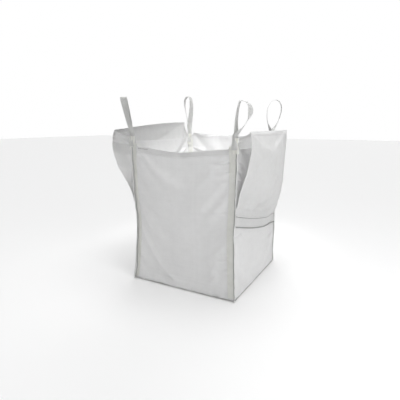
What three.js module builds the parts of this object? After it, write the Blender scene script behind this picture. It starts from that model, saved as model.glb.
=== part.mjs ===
// Bulk bag (FIBC): an empty open-topped box of woven polypropylene with four lifting loops and
// a tied-up outer flap on its left and right sides. Millimetres, +Z up, -Y is the front, and the
// origin is the centre of the underside.

import * as THREE from 'three';

// Body
const HALF_SIDE = 450; // half the body's width and depth at the rim
const WAIST = 16; // how far the corners pull in at mid-height
const WAIST_HEIGHT = 480;
const WAIST_SPREAD = 230;
const FLARE = 12; // how far the corners spread at the floor
const FLARE_SPREAD = 110;
const SWELL_HEIGHT = 1150; // a wall swells outwards between the floor and this height
const FABRIC = 4; // thickness of a panel's plain solid
const EDGE_GAP = 6; // from a panel's edge to the corner line
const POST_NOTCH = 38; // how much narrower a panel is beside the corner posts
const NOTCH_FROM = 1050;
const NOTCH_TO = 1098;
const LAYER_GAP = 0.7; // between layers that lie on each other

// Bottom seams and base
const SEAM_HEIGHT = 9.5;
const SEAM_DEPTH = 14;
const PANEL_FOOT = 10.5; // the panels start just above the bottom seams

// Trim on the panels
const TRIM = 2.5; // thickness of hems and seam bands
const TRIM_PROUD = 4.2; // a trim strip's middle stands this far off the panel's middle
const HEM_HEIGHT = 40;
const FIN_DEPTH = 16; // corner seam allowance, standing out on the diagonal
const FIN_THICKNESS = 3;
const FIN_TOP = 1106;

// Webbing
const WEBBING = 48;
const WEBBING_THICKNESS = 3;
const WEBBING_INSET = 5; // from the corner line to the webbing's edge
const LEG_FOOT = 25;
const LEG_TOP = 1106;
const INNER_LEG_FOOT = 935;
const INNER_LEG_TOP = NOTCH_FROM - 5;

// Posts: a panel's top corner and the webbing's legs, gathered between the rim and the loops
const POST_FOOT = 1112;
const POST_TOP = 1180;
const POST_CENTRE_X = 438;
const POST_CENTRE_Y = HALF_SIDE - 2;
const POST_FOOT_RADIUS = 27;
const POST_TOP_RADIUS = 23;
const POST_FLATNESS = 0.36; // depth of a post against its width

// Loops
const LOOP_PIVOT = 1198;
const LOOP_FOOT = 6; // the loops start this far above their pivots
const LOOP_NECK = 14; // width of the gathered legs at a loop's foot
const LOOP_SPREAD_FROM = 30;
const LOOP_SPREAD_TO = 85;
const LOOP_BREADTH = 1.3; // makes a teardrop's widest point equal to its stated reach
const LOOP_PARTING = 0.17; // where up a loop's outline its two legs part
const LOOP_LEG_LAP = 2; // extra thickness where the legs lie together
const LOOP_STEPS = 16;

// Side flaps
const FLAP_THICKNESS = 3;
const FLAP_PROUD = 5;
const FLAP_INSET = 8; // from the corner line to the flap's front or back edge
const FLAP_SEAM_FRONT = 656; // height of the flap's seam at the front and how far it drops behind
const FLAP_SEAM_DROP = 156;
const FLAP_SEAM_BOW = 1.7;
const FLAP_LIFT = 2; // the flap starts this far above its seam
const BAND_HEIGHT = 97;
const FLAP_HEM = 22;
const FLAP_ROWS = 24; // rows of facets up a flap, which its hems share
const TAB_HEIGHT = 88;
const TAB_THICKNESS = 2.5;
const TAB_TOP = 0.985; // where up the flap the tab's top edge meets it
const TAB_END = 0.012; // how far along the flap from its front or back edge
const TAB_INSET = 16; // from the corner line
const TAB_POST_GAP = 32; // from the post's middle to the tab's edge beside it
const TAB_POST_FOOT = 1118;
const TAB_POST_TOP = 1200;
const TAB_GAP = 4;

const FACES = {
  front: { out: [0, -1], along: [1, 0], bulge: 16 },
  right: { out: [1, 0], along: [0, 1], bulge: 18 },
  back: { out: [0, 1], along: [-1, 0], bulge: 16 },
  left: { out: [-1, 0], along: [0, -1], bulge: 18 },
};

// Rim height of each wall against the distance along it from its middle.
const RIMS = {
  front: (a) => 1115 - 36 * Math.exp(-(((a + 20) / 260) ** 2)),
  right: (a) => 1118 - 10 * (1 - (a / HALF_SIDE) ** 2),
  back: (a) => 1206 - 28 * (1 - (a / HALF_SIDE) ** 2),
  left: (a) => 1156 - 10 * (1 - (a / HALF_SIDE) ** 2),
};

// drawnIn is how far a corner's post leans in towards the middle along X.
const CORNERS = {
  front_left: { side: -1, end: -1, face: 'front', drawnIn: 0 },
  front_right: { side: 1, end: -1, face: 'front', drawnIn: 0 },
  back_left: { side: -1, end: 1, face: 'back', drawnIn: 0 },
  back_right: { side: 1, end: 1, face: 'back', drawnIn: 34 },
};

// The lifting loops: height above the pivot, half-widths to each side of the loop's own line,
// sideways drift of its top within its plane and across it, and the plane's heading.
const LOOPS = {
  front_left: { height: 290, right: 34, left: 34, drift: 0, lean: -60, heading: 110 },
  front_right: { height: 245, right: 88, left: 14, drift: 45, lean: 0, heading: 0 },
  back_left: { height: 335, right: 44, left: 48, drift: -15, lean: 0, heading: 0 },
  back_right: { height: 292, right: 65, left: 65, drift: 32, lean: 0, heading: 28 },
};

// The side flaps: how far each stands out at its front, middle and back, where up its height it
// stands out most, and the height of its top edge from front (0) to back (1).
const FLAPS = {
  right: { stand: [110, 122, 86], peak: 0.82, ease: 1.2, top: () => 1234 },
  left: {
    stand: [203, 150, 52],
    peak: 0.78,
    ease: 1.0,
    top: (t) => 1240 + 62 * Math.sin((Math.PI / 2) * t ** 1.1),
  },
};

const COLOURS = {
  woven: { color: 0xe6e6e4, roughness: 0.62 },
  trim: { color: 0xefefed, roughness: 0.55 },
  webbing: { color: 0xd9dacf, roughness: 0.7 },
};

const bag = new THREE.Group();

function add(name, geometry, colour) {
  const material = new THREE.MeshStandardMaterial({ ...COLOURS[colour], metalness: 0 });
  const mesh = new THREE.Mesh(geometry, material);
  mesh.name = name;
  bag.add(mesh);
}

function smooth(from, to, value) {
  return THREE.MathUtils.smoothstep(value, from, to);
}

// Half the body's width at height z, measured to the corner line.
function half(z) {
  const pulled = WAIST * Math.exp(-(((z - WAIST_HEIGHT) / WAIST_SPREAD) ** 2));
  return HALF_SIDE - pulled + FLARE * Math.exp(-((z / FLARE_SPREAD) ** 2));
}

// A point on a wall: a is the distance along it from its middle, proud how far off its middle layer.
function wall(face, a, z, proud = 0) {
  const { out, along, bulge } = FACES[face];
  const h = half(z);
  const rise = Math.sin(Math.PI * THREE.MathUtils.clamp(z / SWELL_HEIGHT, 0, 1));
  const swell = bulge * Math.max(0, 1 - (a / h) ** 2) * rise;
  const o = h + swell + proud;
  return new THREE.Vector3(out[0] * o + along[0] * a, out[1] * o + along[1] * a, z);
}

// A closed sheet of even thickness, lifted off its surface by proud. point(u, v) is that surface,
// with u and v from 0 to 1.
function sheet(columns, rows, thickness, point, proud = 0) {
  const geometry = new THREE.BoxGeometry(1, 1, 1, columns, rows, 1);
  geometry.deleteAttribute('normal');
  geometry.deleteAttribute('uv');
  const place = geometry.attributes.position;
  const step = 0.001;
  for (let i = 0; i < place.count; i += 1) {
    const u = Math.round((place.getX(i) + 0.5) * columns) / columns;
    const v = Math.round((place.getY(i) + 0.5) * rows) / rows;
    const du = point(u + step, v).sub(point(u - step, v));
    const dv = point(u, v + step).sub(point(u, v - step));
    const normal = du.cross(dv).normalize();
    const p = point(u, v).addScaledVector(normal, proud + Math.sign(place.getZ(i)) * thickness * 0.5);
    place.setXYZ(i, p.x, p.y, p.z);
  }
  return geometry;
}

// A strip on a wall between two distances along it and two heights, which may be functions.
function wallStrip(face, [aFrom, aTo], [zFrom, zTo], proud, thickness, columns, rows) {
  const value = (x, at) => (typeof x === 'function' ? x(at) : x);
  return sheet(columns, rows, thickness, (u, v) => {
    const middle = THREE.MathUtils.lerp(value(aFrom, HALF_SIDE), value(aTo, HALF_SIDE), u);
    const z = THREE.MathUtils.lerp(value(zFrom, middle), value(zTo, middle), v);
    return wall(face, THREE.MathUtils.lerp(value(aFrom, z), value(aTo, z), u), z, proud);
  });
}

// How far the post at one end of a wall leans in along it. sign is -1 or 1, for the wall's two ends.
function leanAt(face, sign) {
  const side = sign * FACES[face].along[0];
  const corner = Object.values(CORNERS).find((each) => each.face === face && each.side === side);
  return corner ? corner.drawnIn : 0;
}

function addPanels() {
  for (const face of Object.keys(FACES)) {
    const span = [-1, 1].map((sign) => (z) => {
      const notch = (POST_NOTCH + leanAt(face, sign)) * smooth(NOTCH_FROM, NOTCH_TO, z);
      return sign * (half(z) - EDGE_GAP - notch);
    });
    add(`${face}_panel`, wallStrip(face, span, [PANEL_FOOT, RIMS[face]], 0, FABRIC, 10, 14), 'woven');
  }
  const size = 2 * (half(0) - SEAM_DEPTH / 2 - 0.5);
  const base = new THREE.BoxGeometry(size, size, FABRIC);
  base.translate(0, 0, FABRIC / 2);
  add('base_panel', base, 'woven');
}

function addRimHems() {
  for (const face of Object.keys(FACES)) {
    const clear = WEBBING + WEBBING_INSET + 4;
    const span = [-1, 1].map((sign) => sign * (HALF_SIDE - clear - leanAt(face, sign)));
    const heights = [(a) => RIMS[face](a) - HEM_HEIGHT, (a) => RIMS[face](a) - 1];
    add(`${face}_rim_hem`, wallStrip(face, span, heights, TRIM_PROUD, TRIM, 10, 1), 'trim');
  }
}

function addBottomSeams() {
  const end = half(0) - SEAM_DEPTH / 2 - 2;
  for (const face of Object.keys(FACES)) {
    const { out, along } = FACES[face];
    const across = [Math.abs(along[0]) * 2 * end, Math.abs(along[1]) * 2 * end];
    const x = across[0] || SEAM_DEPTH;
    const y = across[1] || SEAM_DEPTH;
    const seam = new THREE.BoxGeometry(x, y, SEAM_HEIGHT);
    seam.translate(out[0] * half(0), out[1] * half(0), SEAM_HEIGHT / 2);
    add(`${face}_bottom_seam`, seam, 'trim');
  }
}

function addCornerSeams() {
  for (const [name, { side, end }] of Object.entries(CORNERS)) {
    const fin = sheet(1, 14, FIN_THICKNESS, (u, v) => {
      const z = THREE.MathUtils.lerp(PANEL_FOOT, FIN_TOP, v);
      const r = half(z) + (u * FIN_DEPTH - 2) * Math.SQRT1_2;
      return new THREE.Vector3(side * r, end * r, z);
    });
    add(`${name}_corner_seam`, fin, 'trim');
  }
}

function addWebbingLegs() {
  for (const [name, { side, face }] of Object.entries(CORNERS)) {
    const towards = side * FACES[face].along[0];
    const inner = (z) => half(z) - WEBBING_INSET - WEBBING;
    const outer = (z) => half(z) - WEBBING_INSET;
    const span = towards > 0 ? [inner, outer] : [(z) => -outer(z), (z) => -inner(z)];
    const proud = (FABRIC + WEBBING_THICKNESS) / 2 + LAYER_GAP;
    const long = wallStrip(face, span, [LEG_FOOT, LEG_TOP], proud, WEBBING_THICKNESS, 2, 12);
    const short = wallStrip(face, span, [INNER_LEG_FOOT, INNER_LEG_TOP], -proud, WEBBING_THICKNESS, 2, 3);
    add(`${name}_webbing`, long, 'webbing');
    add(`${name}_inner_webbing`, short, 'webbing');
  }
}

function postX({ side, drawnIn }) {
  return side * (POST_CENTRE_X - drawnIn);
}

// The panels' top corners and the webbing's legs, gathered together above the rim.
function addPosts() {
  for (const [name, corner] of Object.entries(CORNERS)) {
    const post = new THREE.CylinderGeometry(POST_TOP_RADIUS, POST_FOOT_RADIUS, POST_TOP - POST_FOOT, 12, 3);
    post.rotateX(Math.PI / 2);
    post.scale(1, POST_FLATNESS, 1);
    post.translate(postX(corner), corner.end * POST_CENTRE_Y, (POST_FOOT + POST_TOP) / 2);
    add(`${name}_post`, post, 'webbing');
  }
}

// Half of a loop's outline, from its foot (0) to its top (1): a teardrop.
function teardrop(q, reach, loop) {
  const turn = Math.PI * q;
  const rise = (1 - Math.cos(turn)) / 2;
  const x = reach * LOOP_BREADTH * Math.sin(turn) * Math.sin(turn / 2) + loop.drift * rise;
  return new THREE.Vector2(x, LOOP_FOOT + (loop.height - LOOP_FOOT) * rise);
}

function loopOutline(loop, layer, from) {
  const points = [];
  for (const [reach, sign] of [[loop.right, 1], [-loop.left, -1]]) {
    const leg = [];
    for (let i = 0; i <= LOOP_STEPS; i += 1) {
      const q = THREE.MathUtils.lerp(from, 1, i / LOOP_STEPS);
      const p = teardrop(q, reach, loop);
      const along = teardrop(q + 0.001, reach, loop).sub(teardrop(q - 0.001, reach, loop)).normalize();
      leg.push(new THREE.Vector2(p.x + sign * layer * along.y, p.y - sign * layer * along.x));
    }
    points.push(...(sign > 0 ? leg : leg.reverse().slice(1)));
  }
  return points;
}

function addLoops() {
  for (const [name, loop] of Object.entries(LOOPS)) {
    const corner = CORNERS[name];
    const layer = WEBBING_THICKNESS / 2;
    const shape = new THREE.Shape(loopOutline(loop, layer + LOOP_LEG_LAP, 0));
    shape.holes.push(new THREE.Path(loopOutline(loop, -layer, LOOP_PARTING)));
    const ribbon = new THREE.ExtrudeGeometry(shape, { depth: 1, bevelEnabled: false });
    const place = ribbon.attributes.position;
    for (let i = 0; i < place.count; i += 1) {
      const z = place.getY(i);
      const spread = smooth(LOOP_SPREAD_FROM, LOOP_SPREAD_TO, z);
      const width = THREE.MathUtils.lerp(LOOP_NECK, WEBBING, spread);
      const across = (0.5 - place.getZ(i)) * width;
      place.setXYZ(i, place.getX(i), across - (loop.lean * z) / loop.height, z);
    }
    ribbon.rotateZ(THREE.MathUtils.degToRad(loop.heading));
    ribbon.translate(postX(corner), corner.end * POST_CENTRE_Y, LOOP_PIVOT);
    add(`${name}_loop`, ribbon, 'webbing');
  }
}

// Height of the flap's seam from front (0) to back (1).
function flapSeam(t) {
  const fall = 1 - (1 - THREE.MathUtils.clamp(t, 0, 1)) ** FLAP_SEAM_BOW;
  return FLAP_SEAM_FRONT - FLAP_SEAM_DROP * fall;
}

// A point on a side flap: t runs from front to back, v from the seam to the top edge.
function flapPoint(side, t, v) {
  const flap = FLAPS[side];
  const foot = flapSeam(t) + FLAP_LIFT;
  const z = THREE.MathUtils.lerp(foot, flap.top(Math.max(t, 0)), v);
  const a = (2 * t - 1) * (half(z) - FLAP_INSET) * FACES[side].along[1];
  const [front, middle, back] = flap.stand;
  const chord = THREE.MathUtils.lerp(front, back, t);
  const stand = chord + (middle - (front + back) / 2) * 4 * t * (1 - t);
  const rise = (Math.max(v, 0) / flap.peak) ** flap.ease;
  const off = (stand * (1 - Math.cos(Math.PI * rise))) / 2;
  return wall(side, a, z, FLAP_PROUD + off);
}

function flapStrip(side, [tFrom, tTo], [vFrom, vTo], proud, thickness, columns, rows) {
  const forward = FACES[side].along[1];
  const point = (u, v) => {
    const t = THREE.MathUtils.lerp(tFrom, tTo, forward > 0 ? u : 1 - u);
    return flapPoint(side, t, THREE.MathUtils.lerp(vFrom, vTo, v));
  };
  return sheet(columns, rows, thickness, point, proud);
}

// The tab that ties a flap's top corner to its post, from the post (0) to the flap (1).
function tab(side, end) {
  const out = FACES[side].out[0];
  const t = end < 0 ? TAB_END : 1 - TAB_END;
  const corner = CORNERS[`${end < 0 ? 'front' : 'back'}_${side}`];
  const upper = flapPoint(side, t, TAB_TOP);
  const lower = flapPoint(side, t, TAB_TOP - TAB_HEIGHT / (upper.z - flapSeam(t)));
  return sheet(3, 2, TAB_THICKNESS, (u, v) => {
    const across = out * end > 0 ? 1 - u : u;
    const reach = Math.abs(THREE.MathUtils.lerp(lower.x, upper.x, v)) - TAB_GAP;
    const x = THREE.MathUtils.lerp(Math.abs(postX(corner)) + TAB_POST_GAP, reach, across);
    const foot = THREE.MathUtils.lerp(TAB_POST_FOOT, lower.z, across);
    const top = THREE.MathUtils.lerp(TAB_POST_TOP, upper.z, across);
    return new THREE.Vector3(out * x, end * (HALF_SIDE - TAB_INSET), THREE.MathUtils.lerp(foot, top, v));
  });
}

function addFlaps() {
  const length = 2 * (HALF_SIDE - FLAP_INSET);
  const edge = FLAP_HEM / length;
  const past = edge + 3 / length; // the top hem starts just past the edge hems
  const row = 1 / FLAP_ROWS;
  const proud = (FLAP_THICKNESS + TRIM) / 2 + LAYER_GAP;
  for (const side of Object.keys(FLAPS)) {
    const hem = (ts, vs, columns, rows) => flapStrip(side, ts, vs, proud, TRIM, columns, rows);
    add(`${side}_flap`, flapStrip(side, [0, 1], [0, 1], 0, FLAP_THICKNESS, 12, FLAP_ROWS), 'woven');
    add(`${side}_flap_front_hem`, hem([0, edge], [row, 1], 1, FLAP_ROWS - 1), 'trim');
    add(`${side}_flap_back_hem`, hem([1 - edge, 1], [row, 1], 1, FLAP_ROWS - 1), 'trim');
    add(`${side}_flap_top_hem`, hem([past, 1 - past], [1 - row, 1], 12, 1), 'trim');
    add(`${side}_flap_front_tab`, tab(side, -1), 'woven');
    add(`${side}_flap_back_tab`, tab(side, 1), 'woven');
    const seam = (a) => flapSeam((a * FACES[side].along[1]) / length + 0.5);
    const heights = [(a) => seam(a) - BAND_HEIGHT, (a) => seam(a) - 1];
    const reach = (z) => half(z) - FLAP_INSET;
    const band = wallStrip(side, [(z) => -reach(z), reach], heights, TRIM_PROUD, TRIM, 12, 2);
    add(`${side}_flap_seam_band`, band, 'trim');
  }
}

addPanels();
addRimHems();
addBottomSeams();
addCornerSeams();
addWebbingLegs();
addPosts();
addLoops();
addFlaps();

export default bag;
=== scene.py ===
"""An empty bulk bag of woven polypropylene, standing open: the looks around its CAD frame.

Everything is in metres, +Z up, with the front at -Y. Walls are named front, right, back and left.
"""

import math

import bpy
import numpy as np
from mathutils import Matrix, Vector


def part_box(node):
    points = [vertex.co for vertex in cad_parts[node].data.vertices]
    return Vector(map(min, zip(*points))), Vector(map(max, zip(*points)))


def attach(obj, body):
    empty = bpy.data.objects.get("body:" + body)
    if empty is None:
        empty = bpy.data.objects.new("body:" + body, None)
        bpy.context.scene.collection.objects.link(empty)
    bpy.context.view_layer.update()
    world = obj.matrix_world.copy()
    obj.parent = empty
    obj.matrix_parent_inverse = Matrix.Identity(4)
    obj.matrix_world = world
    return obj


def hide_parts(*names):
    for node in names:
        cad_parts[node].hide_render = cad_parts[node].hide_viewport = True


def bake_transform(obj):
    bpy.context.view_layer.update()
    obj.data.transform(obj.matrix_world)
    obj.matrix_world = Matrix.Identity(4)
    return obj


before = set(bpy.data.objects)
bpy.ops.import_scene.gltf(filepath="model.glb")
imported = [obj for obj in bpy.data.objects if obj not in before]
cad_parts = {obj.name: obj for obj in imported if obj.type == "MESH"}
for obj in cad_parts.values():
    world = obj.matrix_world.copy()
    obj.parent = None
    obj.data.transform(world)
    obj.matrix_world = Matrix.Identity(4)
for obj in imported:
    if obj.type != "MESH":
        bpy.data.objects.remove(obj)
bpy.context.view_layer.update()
scene = bpy.context.scene

# ---- sizes

HALF_SIDE = 0.45
WAIST, WAIST_HEIGHT, WAIST_SPREAD = 0.016, 0.48, 0.23  # how far the walls pull in, and where
FLARE, FLARE_SPREAD = 0.012, 0.11  # the walls spread a little at the floor
FULL_CORNER = 0.03  # how far the back right corner bellies out
SWELL_HEIGHT = 1.15  # a wall's swell ends here
FLOOR_GAP, CORNER_GAP = 0.003, 0.0012  # from a wall's cloth to the floor and to the corner line
CLOTH = 0.0012  # thickness of one layer of coated fabric
HEM = 0.0011
LAYER_GAP = 0.0004
HEM_LIFT = (CLOTH + HEM) / 2 + LAYER_GAP  # a hem's middle above the cloth's middle
HEM_FACE = CLOTH / 2 + HEM + LAYER_GAP

# Each rim's height at its ends, its sag in the middle, and how far its corners are raised into the posts.
# The front rim dips instead.
RIMS = {"front": 1.115, "right": 1.118, "back": 1.206, "left": 1.156}
RIM_SAGS = {"right": 0.01, "back": 0.028, "left": 0.01}
RIM_CORNERS = {"front": 0.03, "right": 0.03, "back": -0.02, "left": 0.005}
DIP, DIP_MIDDLE, DIP_SPREAD = 0.036, -0.02, 0.26

POST_X, POST_Y = 0.438, 0.448
POST_FOOT, POST_TOP = 1.085, 1.192
GATHER = 0.024  # how far a panel's top corner is drawn in to its post
GATHER_LOW, GATHER_HIGH = 1.04, 1.115  # it is drawn in between these heights
LEG_FOOT, LEG_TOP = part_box("front_right_webbing")[0].z, 1.135
INNER_LEG_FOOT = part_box("front_right_inner_webbing")[0].z
WEBBING, WEBBING_THICKNESS, WEBBING_INSET = 0.048, 0.0022, 0.002
LOOP_PIVOT, LOOP_FOOT, LOOP_BREADTH = 1.198, 0.006, 1.3
STRAP_FOOT = 1.112  # the loop's straps start here, on the posts

HEM_HEIGHT, HEM_END = 0.038, 0.052  # a rim hem stops this far short of the corner
HEM_ROWS = (0.031, 0.0055)  # its rows of stitches, below the rim
TACK_DROP, TACKS_END = 0.012, -0.27  # the dark tacks at the left of the front hem
SEAM_LIP, SEAM_PLY = 0.014, 0.003  # how far the base seam stands out, and its thickness
FIN_DEPTH, FIN_TOP, FIN_PLY = 0.015, 1.112, 0.0026  # a corner's allowances, standing out
LAID_DEPTH = 0.021  # the same, laid over
SEAM_FRONT, SEAM_DROP, SEAM_BOW = 0.656, 0.156, 1.7
FLAP_INSET, FLAP_PROUD, FLAP_HEM = 0.008, 0.005, 0.022
FLAP_TOP_HEM = 0.042  # as a share of the flap's height
TAB_TOP, TAB_END = 0.985, 0.012  # a tab's corner on its flap, as shares of its height and length
TAB_INSET, TAB_POST_GAP, TAB_POST_TOP = 0.016, 0.02, 1.196

FACES = {
    "front": {"out": (0, -1), "along": (1, 0), "bulge": 0.016, "seed": 11},
    "right": {"out": (1, 0), "along": (0, 1), "bulge": 0.018, "seed": 23},
    "back": {"out": (0, 1), "along": (-1, 0), "bulge": 0.016, "seed": 37},
    "left": {"out": (-1, 0), "along": (0, -1), "bulge": 0.018, "seed": 41},
}
# drawn_in is how far a corner's post leans in towards the middle along X.
CORNERS = {
    "front_left": {"side": -1, "end": -1, "face": "front", "drawn_in": 0, "laid_over": True, "seed": 3},
    "front_right": {"side": 1, "end": -1, "face": "front", "drawn_in": 0, "laid_over": False, "seed": 5},
    "back_left": {"side": -1, "end": 1, "face": "back", "drawn_in": 0, "laid_over": False, "seed": 7},
    "back_right": {"side": 1, "end": 1, "face": "back", "drawn_in": 0.034, "laid_over": False, "seed": 9},
}
# right and left: how far each leg reaches to its side. drift and lean: how far the top is moved along the
# loop's plane and across it. heading: the plane's, in degrees. pinch: 1 is a teardrop, and more keeps the
# legs close together further up. turns: how the strap twists. Each pair is a share of its length, from the
# foot of the right leg over the top to the foot of the left leg, and the heading of its width in degrees.
LOOPS = {
    "front_left": {
        "height": 0.29, "right": 0.024, "left": 0.024, "drift": 0, "lean": -0.06, "heading": 110,
        "pinch": 1,
        "turns": ((0, 180), (0.14, 178), (0.28, 168), (0.41, 178), (0.5, 200), (0.59, 178), (0.72, 168),
                  (0.86, 178), (1, 180)),
    },
    "front_right": {
        "height": 0.235, "right": 0.08, "left": 0.012, "drift": 0.034, "lean": 0, "heading": 0,
        "pinch": 1,
        "turns": ((0, 0), (0.12, 30), (0.22, 108), (0.31, 112), (0.39, 62), (0.48, 88), (0.56, 98),
                  (0.66, 94), (0.78, 84), (0.86, 60), (0.94, 10), (1, 0)),
    },
    "back_left": {
        "height": 0.35, "right": 0.04, "left": 0.058, "drift": -0.01, "lean": 0, "heading": 0,
        "pinch": 2.6,
        "turns": ((0, 0), (0.1, 10), (0.3, 62), (0.5, 90), (0.7, 118), (0.84, 100), (0.93, 10), (1, 0)),
    },
    "back_right": {
        "height": 0.292, "right": 0.062, "left": 0.062, "drift": 0.028, "lean": 0, "heading": 28,
        "pinch": 1,
        "turns": ((0, 180), (0.1, 165), (0.21, 116), (0.5, 113), (0.79, 112), (0.9, 165), (1, 180)),
    },
}
# stand: how far a flap stands off its wall at its front, middle and back. peak: the share of its height
# where it stands out most. ease: how early it leaves the wall, at its front and at its back.
FLAPS = {
    "right": {"stand": (0.11, 0.122, 0.086), "peak": 0.82, "ease": (1.2, 0.65), "seed": 53},
    "left": {"stand": (0.215, 0.154, 0.052), "peak": 0.78, "ease": (1.0, 1.0), "seed": 67},
}

CREASE_DEPTH = 1.5  # all the depths below are multiplied by this
CREASE_WIDTH = (0.006, 0.016)  # at a crease's sharp end, in a wall and in a cover

# Each tab's height at the flap, and how high its lower edge meets the post.
TABS = {
    ("right", "front"): (0.088, 1.118),
    ("right", "back"): (0.088, 1.118),
    ("left", "front"): (0.088, 1.118),
    ("left", "back"): (0.13, 1.09),
}

# Sharp creases in the walls and covers: along the wall and up it at one end and at the other, and depth.
CREASES = {
    "front": [
        (0.4, 1.07, 0.33, 1.064, 0.0035), (0.4, 1.022, 0.21, 1.01, 0.005),
        (0.4, 0.962, 0.25, 0.955, 0.004), (0.398, 0.905, 0.3, 0.9, 0.0025),
        (0.4, 0.672, 0.15, 0.664, 0.0022), (0.396, 0.33, 0.29, 0.322, 0.0035),
        (0.396, 0.29, 0.31, 0.276, 0.0035), (0.396, 0.24, 0.33, 0.228, 0.0025),
        (-0.4, 1.03, -0.3, 1, 0.0025), (-0.1, 0.69, -0.06, 0.66, 0.002),
        (-0.41, 0.2, -0.37, 0.19, 0.0025),
    ],
    "right": [
        (-0.42, 1.02, -0.3, 0.93, 0.004), (-0.425, 0.96, -0.33, 0.88, 0.004),
        (-0.425, 0.9, -0.35, 0.84, 0.003), (-0.42, 0.48, -0.2, 0.47, 0.003),
        (0.4, 0.34, 0.25, 0.3, 0.003), (-0.4, 0.2, -0.3, 0.26, 0.0025),
    ],
    "back": [
        (0.4, 1.06, 0.24, 1.04, 0.004), (0.4, 0.98, 0.26, 0.97, 0.0035),
        (-0.36, 1.08, -0.22, 1.03, 0.0045), (-0.39, 0.99, -0.24, 0.94, 0.0035),
        (-0.39, 0.3, -0.28, 0.26, 0.003), (0.39, 0.28, 0.3, 0.23, 0.003),
        (0.05, 0.7, -0.12, 0.56, 0.0018),
    ],
    "left": [
        (-0.4, 1.05, -0.28, 0.98, 0.004), (0.4, 1.04, 0.29, 0.96, 0.004),
        (0.4, 0.36, 0.23, 0.33, 0.003), (-0.4, 0.26, -0.3, 0.3, 0.0025),
    ],
    "right_cover": [
        (-0.3, 0.98, -0.18, 0.7, 0.004), (-0.15, 1.08, -0.06, 0.69, 0.005),
        (0.05, 1.02, 0.11, 0.64, 0.005), (0.19, 1.12, 0.23, 0.7, 0.0045),
        (0.3, 1.16, 0.33, 0.85, 0.004), (0.37, 1.18, 0.4, 0.96, 0.0035),
        (-0.33, 0.705, -0.08, 0.64, 0.0055), (0, 0.6, 0.3, 0.56, 0.005),
    ],
    "left_cover": [
        (-0.25, 1, -0.15, 0.72, 0.0045), (0, 1.08, 0.06, 0.68, 0.005),
        (0.2, 1.05, 0.22, 0.64, 0.0045), (0.33, 1.12, 0.36, 0.76, 0.004),
        (-0.3, 0.69, -0.05, 0.62, 0.005), (0.05, 0.59, 0.28, 0.55, 0.0045),
    ],
}

# The kinds of folds in a wall and in a cover: how deep, and their longest and shortest wavelengths.
SWELLS = (0.0042, 0.75, 0.3)
DIMPLES = (0.0012, 0.2, 0.09)
SEAM_PUCKERS = (0.002, 0.09, 0.035)
FLOOR_PUCKERS = (0.0022, 0.11, 0.04)
RIM_WAVES = (0.0035, 0.42, 0.16)
COVER_SWELLS = (0.006, 0.5, 0.2)
COVER_DIMPLES = (0.0012, 0.16, 0.07)
COVER_PUCKERS = (0.002, 0.09, 0.04)
COVER_DRAWN_IN = 0.0048
PLEAT_DEPTH, PLEAT_PITCH = 0.0035, 0.021  # where a wall's corner is gathered
FLOOR_TUCK, CORNER_TUCK = 0.009, 0.0045  # how far the cloth turns in at its seams

# The simulation: the cloth, which is cut a little too large, its share of gravity, and the most it moves.
SETTLING_FRAMES = 32
SETTLED_MOST = 0.008
WALL_GRAVITY, COVER_GRAVITY = 0.12, 0.1
CLOTH_SETTINGS = {
    "quality": 6, "mass": 0.2, "tension_stiffness": 30, "compression_stiffness": 30,
    "shear_stiffness": 8, "bending_stiffness": 0.8, "air_damping": 2, "shrink_min": -0.008,
}

# A strap's section: places across it and its thickness there, as shares of its width and thickness.
SECTION = np.array([-1, -0.96, -0.86, -0.5, 0, 0.5, 0.86, 0.96, 1]) / 2
SECTION_THICKNESS = np.array([0.35, 0.8, 1, 0.93, 1, 0.93, 1, 0.8, 0.35])

# A seam band's section, down the wall from the seam and off the wall: a ridge, a flat and a ridge.
BAND_SECTION = np.array([
    (0.0025, 0.0022), (0, 0.0062), (-0.004, 0.0082), (-0.0085, 0.008), (-0.0115, 0.0058),
    (-0.012, 0.003), (-0.015, 0.002), (-0.03, 0.0024), (-0.05, 0.0026), (-0.07, 0.0024),
    (-0.083, 0.0026), (-0.085, 0.0052), (-0.0885, 0.007), (-0.0925, 0.0068), (-0.095, 0.0048),
    (-0.0955, 0.002),
])[::-1]
BAND_ROWS = (2, 3, 10, 11)  # the points of the section that are stitched

CAMERA_PLACE, CAMERA_DOWN, CAMERA_TURN, LENS = (1.38, -2.68, 1.28), 12.03, 28.5, 31.86
# The world's light: the way to its bright side, where it changes, and its strength in front and behind.
WORLD_BRIGHT = (-0.48, 0.88, 0)
WORLD_SPAN = {"From Min": 0.2, "From Max": 0.9, "To Min": 0.06, "To Max": 0.52}
# Each lamp's kind, place, target and settings.
LAMPS = {
    "overhead": ("SUN", (0.3, 0, 3.0), (0, 0, 0), {"energy": 2.3, "angle": math.radians(65)}),
    "behind": ("SUN", (-0.3, 1.0, 0.4), (0, 0, 0), {"energy": 0.7, "angle": math.radians(45)}),
    "right_softbox": (
        "AREA", (2.2, -1.4, 2.0), (0, 0, 0.7),
        {"energy": 15, "size": 1.5, "spread": math.radians(180)},
    ),
    "inner_softbox": (
        "AREA", (0.25, -0.35, 2.4), (-0.1, 0.3, 0.8),
        {"energy": 3.8, "size": 0.6, "spread": math.radians(50)},
    ),
}

# ---- shape of the cloth


def smooth(low, high, x):
    """A smooth step from 0 at low to 1 at high."""
    t = np.clip((np.asarray(x, float) - low) / (high - low), 0, 1)
    return t * t * (3 - 2 * t)


def waves(u, v, seed, longest, shortest, count=7):
    """A smooth random field of about -1 to 1: a sum of plane waves between two wavelengths."""
    draw = np.random.RandomState(seed)
    total = 0 * (np.asarray(u, float) + v)
    for _ in range(count):
        k = 2 * math.pi / (longest * (shortest / longest) ** draw.rand())
        turn = draw.rand() * 2 * math.pi
        total = total + np.cos(k * (math.cos(turn) * u + math.sin(turn) * v) + draw.rand() * 2 * math.pi)
    return total / math.sqrt(count)


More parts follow.
